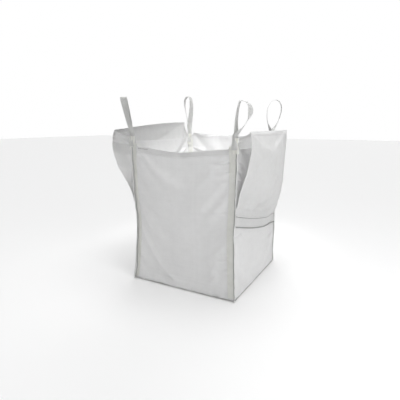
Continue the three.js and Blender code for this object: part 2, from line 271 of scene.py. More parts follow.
def half(z):
    """Half the body's width at a height, to the corner line."""
    pulled = WAIST * np.exp(-(((z - WAIST_HEIGHT) / WAIST_SPREAD) ** 2))
    return HALF_SIDE - pulled + FLARE * np.exp(-((z / FLARE_SPREAD) ** 2))


def rim(face, a):
    """Height of a wall's rim at a distance along the wall from its middle."""
    if face == "front":
        return RIMS[face] - DIP * np.exp(-(((a - DIP_MIDDLE) / DIP_SPREAD) ** 2))
    return RIMS[face] - RIM_SAGS[face] * (1 - (a / HALF_SIDE) ** 2)


def creases(name, a, z):
    """Narrow valleys with a soft lip on each side, which fade out towards their far end."""
    off = 0 * (a + z)
    for a0, z0, a1, z1, depth in CREASES[name]:
        length = math.hypot(a1 - a0, z1 - z0)
        ca, cz = (a1 - a0) / length, (z1 - z0) / length
        along = ((a - a0) * ca + (z - z0) * cz) / length
        beside = (z - z0) * ca - (a - a0) * cz - 0.05 * length * np.sin(math.pi * along)
        width = CREASE_WIDTH[name.endswith("cover")] * (1 + 1.8 * np.clip(along, 0, 1))
        fade = smooth(-0.12, 0.1, along) * smooth(1.25, 0.35, along)
        valley = np.exp(-((beside / width) ** 2)) - 0.45 * np.exp(-((beside / width - 1.9) ** 2))
        off = off - CREASE_DEPTH * depth * fade * valley
    return off


def sampled(field, u, v):
    """A grid of values over 0 to 1 each way, read in between its points."""
    rows, columns = field.shape[0] - 1, field.shape[1] - 1
    x, y = np.clip(u, 0, 1) * rows, np.clip(v, 0, 1) * columns
    i, j = np.minimum(x.astype(int), rows - 1), np.minimum(y.astype(int), columns - 1)
    x, y = smooth(0, 1, x - i) * 0.5 + (x - i) * 0.5, smooth(0, 1, y - j) * 0.5 + (y - j) * 0.5
    low = field[i, j] * (1 - x) + field[i + 1, j] * x
    high = field[i, j + 1] * (1 - x) + field[i + 1, j + 1] * x
    return low * (1 - y) + high * y


SETTLED = {}  # what the cloth simulation finds for each wall and cover


def lean(face, a, z):
    """How far a side wall follows a post that leans in."""
    off = 0 * (a + z)
    for corner in CORNERS.values():
        if FACES[face]["out"][0] == corner["side"]:
            towards = a * FACES[face]["along"][1] * corner["end"]
            off = off - corner["drawn_in"] * smooth(0.1, 0.44, towards) * smooth(0.7, 1.15, z)
    return off


def filled_out(points):
    """The back right corner bellies out below the right flap's seam."""
    x, y, z = points.T
    rise = smooth(0, 0.42, z) * smooth(1.0, 0.55, z)
    moved = points.copy()
    moved[:, 0] += FULL_CORNER * rise * smooth(0.15, 0.46, x) * smooth(-0.3, 0.46, y)
    return moved


def crumple(kind, share, u, v, seed):
    """One kind of fold, at a share of its full depth."""
    depth, longest, shortest = kind
    return depth * share * waves(u, v, seed, longest, shortest)


def folds(face, a, z):
    """How far a wall's cloth stands off its mean surface: swells, folds, creases and puckers."""
    seed = FACES[face]["seed"]
    edge = np.maximum(half(z) - np.abs(a), 0)
    below = np.maximum(rim(face, a) - z, 0)
    inside = smooth(0, 0.14, edge) * smooth(0, 0.12, z)
    by_seam = np.exp(-edge / 0.03) * smooth(0, 0.004, edge)
    by_floor = np.exp(-z / 0.035) * smooth(0, 0.05, edge)
    by_rim = np.exp(-below / 0.07) * smooth(0, 0.1, edge)
    by_post = smooth(0.11, 0.03, edge) * np.exp(-below / 0.06)
    off = crumple(SWELLS, inside, a, z, seed)
    off += crumple(DIMPLES, inside, a, z * 0.7, seed + 1)
    off += crumple(SEAM_PUCKERS, by_seam, 0 * a, z, seed + 2)
    off += crumple(FLOOR_PUCKERS, by_floor, a, 0 * z, seed + 3)
    off += crumple(RIM_WAVES, by_rim, a, 0 * z, seed + 4)
    off += PLEAT_DEPTH * by_post * np.cos(2 * math.pi * a / PLEAT_PITCH)
    off -= FLOOR_TUCK * np.exp(-z / 0.011) + CORNER_TUCK * np.exp(-edge / 0.0035)
    off += creases(face, a, z) * smooth(0, 0.03, edge)
    if face in SETTLED:
        off += sampled(SETTLED[face], 0.5 + a / half(z) / 2, z / rim(face, a)) * smooth(0.02, 0.1, edge)
    return off + lean(face, a, z)


def wall(face, a, z, lift=0.0, follow=1.0):
    """Points on a wall's cloth: a along it, z up and lift off it, with a share of its folds."""
    out, along = FACES[face]["out"], FACES[face]["along"]
    a, z = np.broadcast_arrays(np.asarray(a, float), np.asarray(z, float))
    h = half(z)
    rise = np.sin(math.pi * np.clip(z / SWELL_HEIGHT, 0, 1))
    swell = FACES[face]["bulge"] * np.maximum(0, 1 - (a / h) ** 2) * rise
    o = h + swell + folds(face, a, z) * follow + lift
    return np.stack([out[0] * o + along[0] * a, out[1] * o + along[1] * a, z], -1)


def seam_height(t):
    """Height of a flap's seam from front (0) to back (1)."""
    return SEAM_FRONT - SEAM_DROP * (1 - (1 - np.clip(t, 0, 1)) ** SEAM_BOW)


def flap_top(side, t):
    """Height of a flap's top edge from front (0) to back (1): level at the right, rising at the left."""
    t = np.clip(t, 0, 1)
    return 1.234 + 0 * t if side == "right" else 1.24 + 0.062 * np.sin(math.pi / 2 * t**1.1)


def flap(side, t, v, lift=0.0):
    """Points on a side flap: t from its front to its back edge, v from its seam to its top edge."""
    shape = FLAPS[side]
    t, v = np.broadcast_arrays(np.asarray(t, float), np.asarray(v, float))
    foot = seam_height(t)
    z = foot + (flap_top(side, t) - foot) * v
    a = (2 * t - 1) * (half(z) - FLAP_INSET) * FACES[side]["along"][1]
    front, middle, back = shape["stand"]
    stand = front + (back - front) * t + (middle - (front + back) / 2) * 4 * t * (1 - t)
    ease = shape["ease"][0] + (shape["ease"][1] - shape["ease"][0]) * smooth(0.3, 1, t)
    off = stand * (1 - np.cos(math.pi * (np.maximum(v, 0) / shape["peak"]) ** ease)) / 2
    y = (2 * t - 1) * HALF_SIDE
    loose = smooth(0.02, 0.35, v)
    seed = shape["seed"]
    off = off + crumple(COVER_SWELLS, loose, y, z * 0.35, seed) - COVER_DRAWN_IN * loose
    off = off + crumple(COVER_DIMPLES, smooth(0, 0.2, v), y, z, seed + 1)
    off = off + crumple(COVER_PUCKERS, np.exp(-v / 0.06) * smooth(0, 0.01, v), y, 0 * z, seed + 2)
    off = off + creases(f"{side}_cover", y, z)
    if f"{side}_cover" in SETTLED:
        off = off + sampled(SETTLED[f"{side}_cover"], t, v)
    return wall(side, a, z, FLAP_PROUD + off + lift, follow=1 - smooth(0, 0.25, v))


# ---- cloth simulation


def link(thing):
    scene.collection.objects.link(thing)


def settle(grid, held, gravity):
    """How far a sheet that is cut a little too large buckles off its grid, held at some of its points."""
    nu, nv = grid.shape[:2]
    index, quads = grid_faces(nu, nv)
    mesh = bpy.data.meshes.new("settling")
    mesh.from_pydata(grid.reshape(-1, 3).tolist(), [], quads.tolist())
    sheet = bpy.data.objects.new("settling", mesh)
    link(sheet)
    pins = sheet.vertex_groups.new(name="pins")
    pins.add([int(i) for i in index[held]], 1.0, "REPLACE")
    cloth = sheet.modifiers.new("cloth", "CLOTH")
    for setting, value in CLOTH_SETTINGS.items():
        setattr(cloth.settings, setting, value)
    cloth.settings.vertex_group_mass = "pins"
    cloth.settings.effector_weights.gravity = gravity
    for step in range(1, SETTLING_FRAMES + 1):
        scene.frame_set(step)
    seen = sheet.evaluated_get(bpy.context.evaluated_depsgraph_get())
    moved = np.array([v.co for v in seen.data.vertices]).reshape(grid.shape) - grid
    bpy.data.objects.remove(sheet)
    bpy.data.meshes.remove(mesh)
    scene.frame_set(1)
    off = (moved * normals(grid)).sum(-1)
    return SETTLED_MOST * np.tanh(off / SETTLED_MOST)


def settle_all():
    """Settles the walls, held at their seams and posts, and the covers, held at their seams and tabs."""
    found = {}
    for face in FACES:
        u, v = grid_of(np.linspace(-1, 1, 61), np.linspace(0, 1, 73))
        z = FLOOR_GAP + (rim(face, u * HALF_SIDE) - FLOOR_GAP) * v
        held = (np.abs(u) > 0.999) | (v < 0.001) | ((np.abs(u) > 0.88) & (v > 0.97))
        found[face] = settle(wall(face, u * half(z), z, follow=0.5), held, WALL_GRAVITY)
    for side in FLAPS:
        t, v = grid_of(np.linspace(0, 1, 61), np.linspace(0, 1, 49))
        held = (v < 0.001) | (((t < 0.02) | (t > 0.98)) & (v > 0.88))
        forward = FACES[side]["along"][1]
        found[f"{side}_cover"] = forward * settle(flap(side, t, v), held, COVER_GRAVITY)
    SETTLED.update(found)


# ---- mesh building


class Builder:
    """Collects the parts of one piece, each with the number of its material in the list given to build."""

    def __init__(self):
        self.points, self.faces, self.uvs, self.kinds = [], [], [], []
        self.count = 0

    def add(self, points, faces, uv, kind=0):
        """points (n, 3), faces (m, 4) of their indices, uv (n, 2) in metres."""
        faces = np.asarray(faces, int)
        self.points.append(np.asarray(points, float).reshape(-1, 3))
        self.faces.append(faces + self.count)
        self.uvs.append(np.asarray(uv, float).reshape(-1, 2)[faces].reshape(-1, 2))
        self.kinds.append(np.full(len(faces), kind))
        self.count += len(self.points[-1])

    def build(self, name, materials, body, node):
        """Makes the piece that stands for a CAD node. A piece with no body is attached to nothing, and its
        caller bakes its transform into its mesh.
        """
        mesh = bpy.data.meshes.new(name)
        faces = np.concatenate(self.faces)
        mesh.from_pydata(filled_out(np.concatenate(self.points)).tolist(), [], faces.tolist())
        layer = mesh.uv_layers.new(name="metres")
        layer.data.foreach_set("uv", np.concatenate(self.uvs).astype(np.float32).ravel())
        for material in materials:
            mesh.materials.append(MATERIALS[material])
        mesh.polygons.foreach_set("material_index", np.concatenate(self.kinds).astype(np.int32))
        mesh.polygons.foreach_set("use_smooth", np.ones(len(faces), bool))
        mesh.set_sharp_from_angle(angle=math.radians(50))
        mesh.update()
        piece = bpy.data.objects.new(name, mesh)
        link(piece)
        if body:
            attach(piece, body)
        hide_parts(node)
        return piece


def normals(grid):
    """The unit normal at each point of a grid."""
    n = np.cross(np.gradient(grid, axis=0), np.gradient(grid, axis=1))
    return n / np.maximum(np.linalg.norm(n, axis=-1, keepdims=True), 1e-12)


def grid_faces(nu, nv):
    """The numbers of a grid's points, and its quads."""
    index = np.arange(nu * nv).reshape(nu, nv)
    quads = np.stack([index[:-1, :-1], index[1:, :-1], index[1:, 1:], index[:-1, 1:]], -1)
    return index, quads.reshape(-1, 4)


def run_along(path):
    """Distances along a path from its first point to each point."""
    return np.concatenate([[0], np.cumsum(np.linalg.norm(np.diff(path, axis=0), axis=1))])


def run_lengths(grid, axis):
    """Distances from a grid's first row to each of its rows, along one axis."""
    steps = np.linalg.norm(np.diff(grid, axis=axis), axis=-1).mean(1 - axis)
    return np.concatenate([[0], np.cumsum(steps)])


def add_sheet(builder, grid, thickness, kind=0, lift=0.0):
    """A closed sheet of even thickness about a grid of points, lifted off it along its normals."""
    n = normals(grid)
    nu, nv = grid.shape[:2]
    uv = np.stack(np.meshgrid(run_lengths(grid, 0), run_lengths(grid, 1), indexing="ij"), -1).reshape(-1, 2)
    layers = [(grid + n * (lift + s * thickness / 2)).reshape(-1, 3) for s in (1, -1)]
    index, quads = grid_faces(nu, nv)
    ring = np.concatenate([index[:-1, 0], index[-1, :-1], index[:0:-1, -1], index[0, :0:-1]])
    after = np.roll(ring, -1)
    edge = np.stack([ring, ring + nu * nv, after + nu * nv, after], -1)
    faces = np.concatenate([quads, quads[:, ::-1] + nu * nv, edge])
    builder.add(np.concatenate(layers), faces, np.concatenate([uv, uv]), kind)


def add_ribbon(builder, centre, across, width, thickness, curl=0.0, kind=0):
    """A flat strap along centre, its width along across, its section bent into an arc of the angle curl."""
    centre, across = np.asarray(centre, float), np.asarray(across, float)
    along = np.gradient(centre, axis=0)
    along /= np.linalg.norm(along, axis=1, keepdims=True)
    across = across - along * (across * along).sum(1, keepdims=True)
    across /= np.linalg.norm(across, axis=1, keepdims=True)
    face = np.cross(along, across)
    curl = np.maximum(np.broadcast_to(np.asarray(curl, float), len(centre)), 1e-3)[:, None]
    s = np.concatenate([SECTION, SECTION[::-1]])
    thick = SECTION_THICKNESS * thickness / 2
    thick = np.concatenate([thick, -thick[::-1]])
    radius = width / curl
    reach = radius - thick[None, :]
    x = reach * np.sin(curl * s[None, :])
    y = radius - reach * np.cos(curl * s[None, :]) - radius * (1 - np.sinc(curl / 2 / math.pi))
    points = centre[:, None] + across[:, None] * x[..., None] + face[:, None] * y[..., None]
    n, m = x.shape
    run = run_along(centre)
    uv = np.stack([np.repeat(s[None, :] * width, n, 0), np.repeat(run[:, None], m, 1)], -1)
    index = np.arange(n * m).reshape(n, m)
    here, there = index[:-1], index[1:]
    sides = np.stack([here, np.roll(here, -1, 1), np.roll(there, -1, 1), there], -1).reshape(-1, 4)
    j = np.arange(m // 2 - 1)
    cap = np.stack([j, m - 1 - j, m - 2 - j, j + 1], -1)
    builder.add(points, np.concatenate([sides, index[0][cap], index[-1][cap[:, ::-1]]]), uv, kind)


def add_stitches(builder, path, out, pitch, kind, width=0.0011, fill=0.72, proud=0.0003):
    """A row of stitches along a path, lying on the side that out points to."""
    path, out = np.asarray(path, float), np.asarray(out, float)
    run = run_along(path)
    sides = 6
    turn = np.linspace(0, 2 * math.pi, sides, endpoint=False)
    for start in np.arange(pitch, run[-1] - pitch, pitch):
        at = start + pitch * fill * np.array([0, 0.12, 0.5, 0.88, 1])
        spine = np.stack([np.interp(at, run, path[:, k]) for k in range(3)], -1)
        up = np.array([np.interp(at[2], run, out[:, k]) for k in range(3)])
        up /= np.linalg.norm(up)
        side = np.cross(spine[-1] - spine[0], up)
        side /= np.linalg.norm(side)
        girth = np.array([0.15, 0.8, 1, 0.8, 0.15]) * width / 2
        sink = np.array([-0.8, 0, 0.5, 0, -0.8]) * width / 2 + proud
        ring = np.cos(turn)[:, None] * side + np.sin(turn)[:, None] * up
        points = spine[:, None] + up * sink[:, None, None] + ring[None] * girth[:, None, None]
        index = np.arange(5 * sides).reshape(5, sides)
        here, there = index[:-1], index[1:]
        faces = np.stack([here, there, np.roll(there, -1, 1), np.roll(here, -1, 1)], -1).reshape(-1, 4)
        builder.add(points, faces, np.zeros((5 * sides, 2)), kind)


# ---- materials


class Tree:
    """A short way to write a material's nodes."""

    def __init__(self, name, **settings):
        self.material = bpy.data.materials.new(name)
        self.material.use_nodes = True
        self.tree = self.material.node_tree
        self.shader = self.tree.nodes["Principled BSDF"]
        for socket, value in settings.items():
            self.set(self.shader, socket.replace("_", " "), value)

    def set(self, node, socket, value):
        if isinstance(value, bpy.types.NodeSocket):
            self.tree.links.new(value, node.inputs[socket])
        else:
            node.inputs[socket].default_value = value

    def node(self, kind, inputs=(), **attributes):
        node = self.tree.nodes.new("ShaderNode" + kind)
        for name, value in attributes.items():
            setattr(node, name, value)
        for socket, value in dict(inputs).items():
            self.set(node, socket, value)
        return node

    def math(self, operation, a, b=0.0):
        return self.node("Math", {0: a, 1: b}, operation=operation).outputs[0]

    def mix(self, factor, a, b):
        return self.node("Mix", {0: factor, 6: a, 7: b}, data_type="RGBA").outputs[2]

    def noise(self, vector, scale, detail=2.0):
        node = self.node("TexNoise", {"Vector": vector, "Scale": scale, "Detail": detail})
        return node.outputs["Fac"]

    def ramp(self, value, low, high, to_low=0.0, to_high=1.0):
        inputs = {"Value": value, "From Min": low, "From Max": high, "To Min": to_low, "To Max": to_high}
        return self.node("MapRange", inputs).outputs[0]

    def bump(self, height, distance, strength=1.0, after=None):
        node = self.node("Bump", {"Height": height, "Distance": distance, "Strength": strength})
        if after:
            self.set(node, "Normal", after)
        return node.outputs[0]


def shade(colour, factor):
    """A colour made darker or lighter, with its alpha."""
    return (colour[0] * factor, colour[1] * factor, colour[2] * factor, 1)


def woven(name, colour, tape=0.0026, depth=0.002):
    """Woven polypropylene under a thin clear coating: slightly glossy tapes over and under each other."""
    t = Tree(name, Roughness=0.56, Specular_IOR_Level=0.45, Sheen_Weight=0.15, Sheen_Roughness=0.5,
             Subsurface_Weight=1, Subsurface_Radius=(1, 1, 1), Subsurface_Scale=depth)
    uv = t.node("UVMap", uv_map="metres").outputs[0]
    place = t.node("TexCoord").outputs["Object"]
    split = t.node("SeparateXYZ", {0: uv})
    cells, arches = [], []
    for axis in (0, 1):
        scaled = t.math("DIVIDE", split.outputs[axis], tape)
        cells.append(t.math("FLOOR", scaled))
        arches.append(t.math("ABSOLUTE", t.math("SINE", t.math("MULTIPLY", scaled, math.pi))))
    parity = t.math("FLOORED_MODULO", t.math("ADD", cells[0], cells[1]), 2.0)
    crowns = []
    for across, along in ((0, 1), (1, 0)):
        flat = t.math("POWER", arches[across], 0.35)
        lift = t.math("MULTIPLY_ADD", arches[along], 0.35)
        lift.node.inputs[2].default_value = 0.65
        crowns.append(t.math("MULTIPLY", flat, lift))
    height = t.node("Mix", {0: parity, 2: crowns[0], 3: crowns[1]}, data_type="FLOAT").outputs[0]
    index = t.node("CombineXYZ", {0: cells[0], 1: cells[1]}).outputs[0]
    stretched = t.node("Mix", {0: parity, 4: t.node("CombineXYZ", {0: cells[0]}).outputs[0],
                               5: t.node("CombineXYZ", {1: cells[1]}).outputs[0]}, data_type="VECTOR")
    tone = t.node("TexWhiteNoise", {"Vector": stretched.outputs[1]}, noise_dimensions="3D").outputs["Value"]
    cloudy = t.noise(place, 3.2, 3.0)
    mottled = t.noise(index, 0.06, 4.0)
    # painted shade: the low places between the tapes are coloured darker, down to 0.86 of the colour
    gap_shade = t.ramp(height, 0.25, 0.75)
    light = t.math("ADD", t.ramp(tone, 0, 1, -0.025, 0.025), t.ramp(cloudy, 0.3, 0.7, -0.025, 0.025))
    light = t.math("ADD", light, t.ramp(mottled, 0.3, 0.7, -0.015, 0.015))
    base = t.mix(gap_shade, shade(colour, 0.86), shade(colour, 1.0))
    bright = t.node("HueSaturation", {"Color": base, "Value": t.math("ADD", light, 1.0)}).outputs[0]
    t.set(t.shader, "Base Color", bright)
    t.set(t.shader, "Roughness", t.ramp(height, 0.3, 0.9, 0.66, 0.5))
    crumpled = t.bump(t.noise(place, 26.0, 5.0), 0.0016, 0.5)
    t.set(t.shader, "Normal", t.bump(height, 0.0003, 0.8, crumpled))
    return t.material


def webbing(name, colour, rib=0.0022, cord=0.0035):
    """Heavy webbing: fine cross ribs on lengthwise cords."""
    t = Tree(name, Roughness=0.72, Specular_IOR_Level=0.35, Sheen_Weight=0.3, Sheen_Roughness=0.5,
             Subsurface_Weight=1, Subsurface_Radius=(1, 1, 1), Subsurface_Scale=0.001)
    uv = t.node("UVMap", uv_map="metres").outputs[0]
    place = t.node("TexCoord").outputs["Object"]
    split = t.node("SeparateXYZ", {0: uv})
    cords = t.math("SINE", t.math("MULTIPLY", split.outputs[0], 2 * math.pi / cord))
    shift = t.math("MULTIPLY", t.math("SIGN", cords), rib / 4)
    ribs = t.math("SINE", t.math("MULTIPLY", t.math("ADD", split.outputs[1], shift), 2 * math.pi / rib))
    rounded = t.math("MULTIPLY", t.math("ABSOLUTE", cords), 0.7)
    height = t.math("ADD", rounded, t.math("MULTIPLY", ribs, 0.35))
    dirt = t.noise(place, 14.0, 4.0)
    fibre = t.noise(place, 900.0, 1.0)
    light = t.math("ADD", t.ramp(dirt, 0.3, 0.7, 0.95, 1.04), t.ramp(fibre, 0.3, 0.7, -0.03, 0.03))
    # painted shade: the hollows between the cords and ribs are coloured darker, down to 0.8 of the colour
    base = t.mix(t.ramp(height, 0.0, 0.8), shade(colour, 0.8), shade(colour, 1.0))
    t.set(t.shader, "Base Color", t.node("HueSaturation", {"Color": base, "Value": light}).outputs[0])
    t.set(t.shader, "Normal", t.bump(height, 0.0005, 0.8, t.bump(dirt, 0.0012, 0.4)))
    return t.material


def thread(name, colour):
    """Twisted sewing thread."""
    t = Tree(name, Roughness=0.7, Sheen_Weight=0.3)
    place = t.node("TexCoord").outputs["Object"]
    fibre = t.noise(place, 1500.0, 2.0)
    t.set(t.shader, "Base Color", t.mix(fibre, shade(colour, 0.85), shade(colour, 1.1)))
    t.set(t.shader, "Normal", t.bump(fibre, 0.0003, 0.5))
    return t.material


def paper(name, colour):
    """Plain matt paper."""
    t = Tree(name, Roughness=0.9, Specular_IOR_Level=0.1)
    t.set(t.shader, "Base Color", shade(colour, 1))
    return t.material


MATERIALS = {
    "body": woven("woven_body", (0.84, 0.84, 0.84), depth=0.0019),
    "flap": woven("woven_flap", (0.8, 0.8, 0.797), depth=0.0017),
    # painted light: the hems are the body's fabric made lighter, standing in for the light that their
    # doubled layer keeps from shining through
    "hem": woven("woven_hem_painted_light", (0.95, 0.95, 0.945), depth=0.0019),
    # painted highlight: the seam allowances are the body's fabric made lighter, so the corner fins and the
    # base seams' lips read as lit edges
    "seam": woven("seam_allowance_painted_highlight", (0.95, 0.95, 0.93), depth=0.0008),
    "post": woven("gathered_cloth", (0.93, 0.93, 0.88), depth=0.0008),
    # the legs' beige tint is the webbing's own; their extra lightness is painted light, standing in for the
    # light that shines through the wall beside them
    "webbing": webbing("leg_webbing", (0.94, 0.945, 0.895)),
    # painted shade: the loops are the legs' webbing made darker, to tone down the lamps' light on them where
    # they hang free
    "loop": webbing("loop_webbing", (0.8, 0.805, 0.79)),
    "thread": thread("sewing_thread", (0.66, 0.66, 0.63)),
    # seam thread, real stitching; on the corner fins and the covers' seam bands its dark colour also stands
    # in for the shadow lines beside the seams (painted shadow)
    "dark": thread("seam_thread_and_shadow", (0.22, 0.22, 0.21)),
}

# ---- the bag's body


def grid_of(u, v):
    return np.meshgrid(np.asarray(u, float), np.asarray(v, float), indexing="ij")


def drawn_in(face, sign):
    """How far the post at one end of a wall leans in along it."""
    side = sign * FACES[face]["along"][0]
    return sum(c["drawn_in"] for c in CORNERS.values() if c["face"] == face and c["side"] == side)


def wall_reach(face, sign, z):
    """How far a wall's cloth reaches along it: to the corner line, and in to the posts near the rim."""
    gathered = (GATHER + drawn_in(face, sign)) * smooth(GATHER_LOW, GATHER_HIGH, z)
    return half(z) - CORNER_GAP - gathered


def wall_top(face, a):
    """A wall's rim, raised where its corner is drawn up into the post."""
    return rim(face, a) + RIM_CORNERS[face] * smooth(0.405, 0.44, np.abs(a))


def wall_grid(face, columns=150, rows=180):
    u, v = grid_of(np.linspace(-1, 1, columns + 1), np.linspace(0, 1, rows + 1))
    top = wall_top(face, u * HALF_SIDE)
    z = FLOOR_GAP + (top - FLOOR_GAP) * v
    reach = np.where(u < 0, wall_reach(face, -1, z), wall_reach(face, 1, z))
    return wall(face, u * reach, z)


def add_wall(face):
    builder = Builder()
    add_sheet(builder, wall_grid(face), CLOTH)
    return builder.build(f"{face}_wall", ["body"], "bag", f"{face}_panel")


def add_rim_hem(face):
    """The rim, turned over and stitched in two rows."""
    builder = Builder()
    ends = [sign * (HALF_SIDE - HEM_END - drawn_in(face, sign)) for sign in (-1, 1)]
    a, v = grid_of(np.linspace(*ends, 130), np.linspace(0, 1, 9))
    top = wall_top(face, a)
    z = top - HEM_HEIGHT * (1 - v) + 0.001
    add_sheet(builder, wall(face, a, z), HEM, lift=HEM_LIFT)
    line = a[:, 0]
    out = np.repeat([[*FACES[face]["out"], 0.0]], len(line), 0)
    for drop in HEM_ROWS:
        path = wall(face, line, wall_top(face, line) - drop, HEM_FACE)
        add_stitches(builder, path, out, 0.011, 1)
    if face == "front":
        tack = line < TACKS_END
        path = wall(face, line, wall_top(face, line) - TACK_DROP, HEM_FACE)
        add_stitches(builder, path[tack], out[tack], 0.019, 2, width=0.0042, fill=0.6)
    builder.build(f"{face}_rim_fold", ["hem", "thread", "dark"], "bag", f"{face}_rim_hem")


def add_bottom_seam(face):
    """The lip of the base seam: the turned allowances of wall and base, standing out along the floor."""
    builder = Builder()
    out, along = FACES[face]["out"], FACES[face]["along"]
    end = half(0) - 0.004
    a, s = grid_of(np.linspace(-end, end, 180), np.linspace(0, 1, 7))
    ripple = waves(a, 0 * s, FACES[face]["seed"] + 6, 0.07, 0.03)
    o = half(0) - 0.009 + s * (SEAM_LIP + 0.0012 * ripple)
    z = 0.0035 + s * s * (0.003 + 0.0018 * ripple)
    grid = np.stack([out[0] * o + along[0] * a, out[1] * o + along[1] * a, z], -1)
    add_sheet(builder, grid, SEAM_PLY)
    up = np.repeat([[0, 0, 1.0]], len(grid), 0)
    for column in (3, 4):
        path = grid[:, column] + np.array([0, 0, 0.0016])
        add_stitches(builder, path, up, 0.009, 1, width=0.0024, fill=0.9)
    builder.build(f"{face}_base_seam", ["seam", "dark"], "bag", f"{face}_bottom_seam")


def add_base():
    """The bottom panel, which lies a little unevenly on the floor inside its seams."""
    builder = Builder()
    size = half(0) - 0.012
    x, y = grid_of(np.linspace(-size, size, 90), np.linspace(-size, size, 90))
    edge = smooth(0, 0.1, size - np.maximum(np.abs(x), np.abs(y)))
    z = 0.0022 + edge * (0.0022 + 0.002 * waves(x, y, 71, 0.5, 0.16))
    add_sheet(builder, np.stack([x, y, np.maximum(z, 0.0012)], -1), CLOTH)
    return builder.build("base_cloth", ["body"], "bag", "base_panel")


def add_corner_seam(name):
    """The corner's allowances, sewn together: they stand out on the diagonal, or lie over on the front."""
    side, end, seed = CORNERS[name]["side"], CORNERS[name]["end"], CORNERS[name]["seed"]
    builder = Builder()
    s, z = grid_of(np.linspace(0, 1, 6), np.linspace(0.006, FIN_TOP, 190))
    sway = 0.003 * s * waves(0 * s, z, seed, 0.3, 0.07)
    sway = sway + 0.001 * s * waves(0 * s, z, seed + 1, 0.05, 0.03)
    if CORNERS[name]["laid_over"]:
        x = half(z) + 0.001 - s * LAID_DEPTH + sway
        y = half(z) + 0.002 + 0.008 * np.sin(math.pi / 2 * np.minimum(2 * s, 1)) + 0.3 * sway
        stitched = (4, 5)
    else:
        r = half(z) + (s * FIN_DEPTH - 0.003) * math.sqrt(0.5)
        x, y = r + sway, r - sway
        stitched = (1, 2)
    grid = np.stack([side * x, end * y, z], -1)
    add_sheet(builder, grid, FIN_PLY)
    out = normals(grid)
    # painted shadow: the dark stitches on both faces of the fin also stand for the shadow line along the
    # corner seam
    for flip in (1, -1):
        for row in stitched:
            path = grid[row] + out[row] * flip * 0.0016
            add_stitches(builder, path, out[row] * flip, 0.009, 1, width=0.0022, fill=0.9)
    builder.build(f"{name}_corner_fold", ["seam", "dark"], "bag", f"{name}_corner_seam")


def add_legs(name):
    """The loop's two legs of webbing, sewn down the wall's outside and a little way down its inside."""
    face = CORNERS[name]["face"]
    towards = CORNERS[name]["side"] * FACES[face]["along"][0]
    out = np.array([*FACES[face]["out"], 0.0])
    for suffix, low, side in (("webbing", LEG_FOOT, 1), ("inner_webbing", INNER_LEG_FOOT, -1)):
        count = int((LEG_TOP - low) / 0.006)
        u, z = grid_of([-0.5, -0.46, -0.3, 0, 0.3, 0.46, 0.5], np.linspace(low, LEG_TOP, count))
        gathered = (0.004 + CORNERS[name]["drawn_in"]) * smooth(1.03, 1.13, z)
        middle = half(z) - WEBBING_INSET - WEBBING / 2 - gathered
        proud = CLOTH / 2 + WEBBING_THICKNESS / 2 + 0.0008 + 0.004 * smooth(1.03, 1.12, z)
        grid = wall(face, towards * middle + u * WEBBING, z, side * proud)
        builder = Builder()
        add_sheet(builder, grid, WEBBING_THICKNESS)
        stitched = z[0] < 1.06
        for column in (1, 5):
            line = grid[column][stitched] + out * side * WEBBING_THICKNESS / 2
            add_stitches(builder, line, np.repeat([out * side], len(line), 0), 0.008, 1)
        node = f"{name}_{suffix}"
        builder.build(node.replace("webbing", "leg"), ["webbing", "thread"], "bag", node)


def post_x(name):
    return CORNERS[name]["side"] * (POST_X - CORNERS[name]["drawn_in"])


def add_post(name):
    """The panels' corners and the webbing, gathered into pleats between the rim and the loop."""
    side, end, seed = CORNERS[name]["side"], CORNERS[name]["end"], CORNERS[name]["seed"]
    builder = Builder()
    turn, z = grid_of(np.linspace(0, 2 * math.pi, 97), np.linspace(POST_FOOT, POST_TOP, 30))
    v = (z - POST_FOOT) / (POST_TOP - POST_FOOT)
    pleat = 0.1 * np.cos(9 * turn + seed + 1.5 * v) + 0.05 * np.cos(14 * turn + 2 * seed - 2 * v)
    squeeze = 1 - 0.16 * np.exp(-(((v - 0.62) / 0.16) ** 2))
    wide = (0.025 - 0.005 * v) * squeeze * (1 + pleat)
    deep = (0.01 - 0.002 * v) * squeeze * (1 + 1.6 * pleat)
    x = post_x(name) + wide * np.cos(turn) + side * CORNERS[name]["drawn_in"] * smooth(0.5, 0, v)
    y = end * POST_Y + deep * np.sin(turn)
    add_sheet(builder, np.stack([x, y, z], -1), CLOTH)
    builder.build(f"{name}_gather", ["post"], "bag", f"{name}_post")


# ---- loops


def teardrop(q, reach, loop):
    """Half of a loop's outline, from its foot (0) to its top (1): distance along its plane, and height."""
    rise = (1 - np.cos(math.pi * q)) / 2
    eye = np.sin(math.pi * q) * np.sin(math.pi * q / 2) ** loop["pinch"]
    x = reach * LOOP_BREADTH * eye + loop["drift"] * rise
    return x, LOOP_FOOT + (loop["height"] - LOOP_FOOT) * rise


